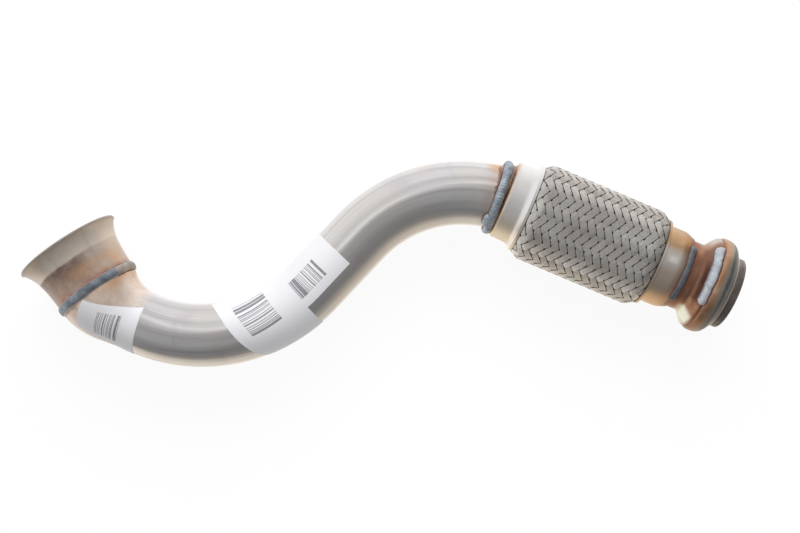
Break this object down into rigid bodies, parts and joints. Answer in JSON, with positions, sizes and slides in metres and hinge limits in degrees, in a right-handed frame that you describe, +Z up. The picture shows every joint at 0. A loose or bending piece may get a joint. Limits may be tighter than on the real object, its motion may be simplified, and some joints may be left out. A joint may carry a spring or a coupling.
{
  "type": "exhaust flex pipe",
  "caption": "S-bent exhaust pipe with a flared inlet cup, a braided flexible coupling and a turned outlet flange.",
  "frame": {"origin": "centre of the outlet's bore at the end of its nose", "axes": "+X out of the outlet, along the coupling's axis within half a degree, +Z up, with the pipe's bends in the XY plane and the inlet towards -X and -Y"},
  "size_m": [0.5127, 0.2633, 0.0836],
  "materials": {
    "pipe_steel": "drawn, satin bright",
    "cup_steel": "heat-tinted taupe",
    "collar_steel": "pressed, satin",
    "strip_steel": "cold-rolled strip",
    "braid_wire": "woven bright wire",
    "weld_metal": "blue-grey oxide",
    "outlet_steel": "rust-orange film",
    "ring_steel": "dark, fine turned lines",
    "label_paper": "matt white"
  },
  "bodies": {
    "inlet_side": {"inlet_cup": "cup_steel", "inlet_weld": "weld_metal", "bent_pipe": "pipe_steel", "inlet_label": "label_paper", "lower_label": "label_paper", "upper_label": "label_paper", "front_weld": "weld_metal", "front_collar": "collar_steel", "front_inner_ring": "collar_steel", "liner": "strip_steel", "bellows": "strip_steel", "braid": "braid_wire"},
    "outlet_side": {"rear_collar": "collar_steel", "rear_inner_ring": "collar_steel", "rear_weld_upper": "weld_metal", "rear_weld_lower": "weld_metal", "outlet_tube": "outlet_steel", "flange_weld_upper": "weld_metal", "flange_weld_lower": "weld_metal", "outlet_flange": "outlet_steel", "seal_ring": "ring_steel"}
  },
  "joints": [
    {"name": "flex_bend", "type": "hinge", "parent": "inlet_side", "child": "outlet_side", "pos_m": [-0.11855, 0, 0.00089], "axis": [0.0075, -0.0016, 1], "range_deg": [-8, 8], "stiffness_Nm_per_rad": 60, "deforming": ["braid", "bellows", "liner"]}
  ]
}
